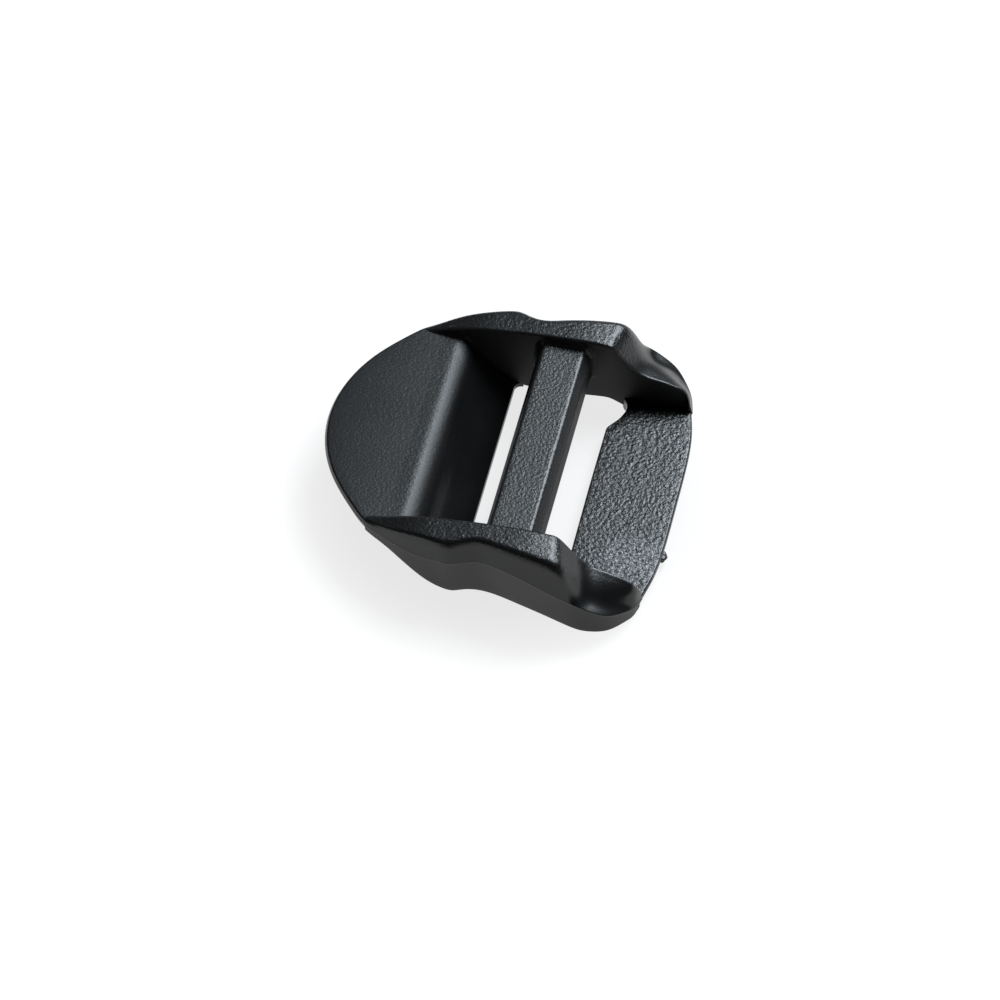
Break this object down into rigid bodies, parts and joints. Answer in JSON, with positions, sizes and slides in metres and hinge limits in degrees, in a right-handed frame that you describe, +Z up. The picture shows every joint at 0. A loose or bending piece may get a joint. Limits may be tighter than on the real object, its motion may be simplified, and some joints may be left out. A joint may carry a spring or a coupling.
{
  "type": "webbing adjuster buckle",
  "caption": "One-piece moulded ladder-lock webbing adjuster with a D-shaped thumb tab, arched side rails, a raised middle bar and a flat end plate.",
  "frame": {"origin": "on the resting surface, under the middle of the buckle's box", "axes": "+X along the strap from the thumb tab to the end plate, +Y to the left, +Z up"},
  "size_m": [0.0377, 0.0354, 0.0099],
  "materials": {
    "moulded_plastic": "fine moulded grain, satin on the smooth sides"
  },
  "bodies": {
    "root": {"grip_tab": "moulded_plastic", "pinch_wall": "moulded_plastic", "side_rail_left": "moulded_plastic", "side_rail_right": "moulded_plastic", "middle_bar": "moulded_plastic", "end_plate": "moulded_plastic", "gate_vestige": "moulded_plastic"}
  },
  "joints": []
}
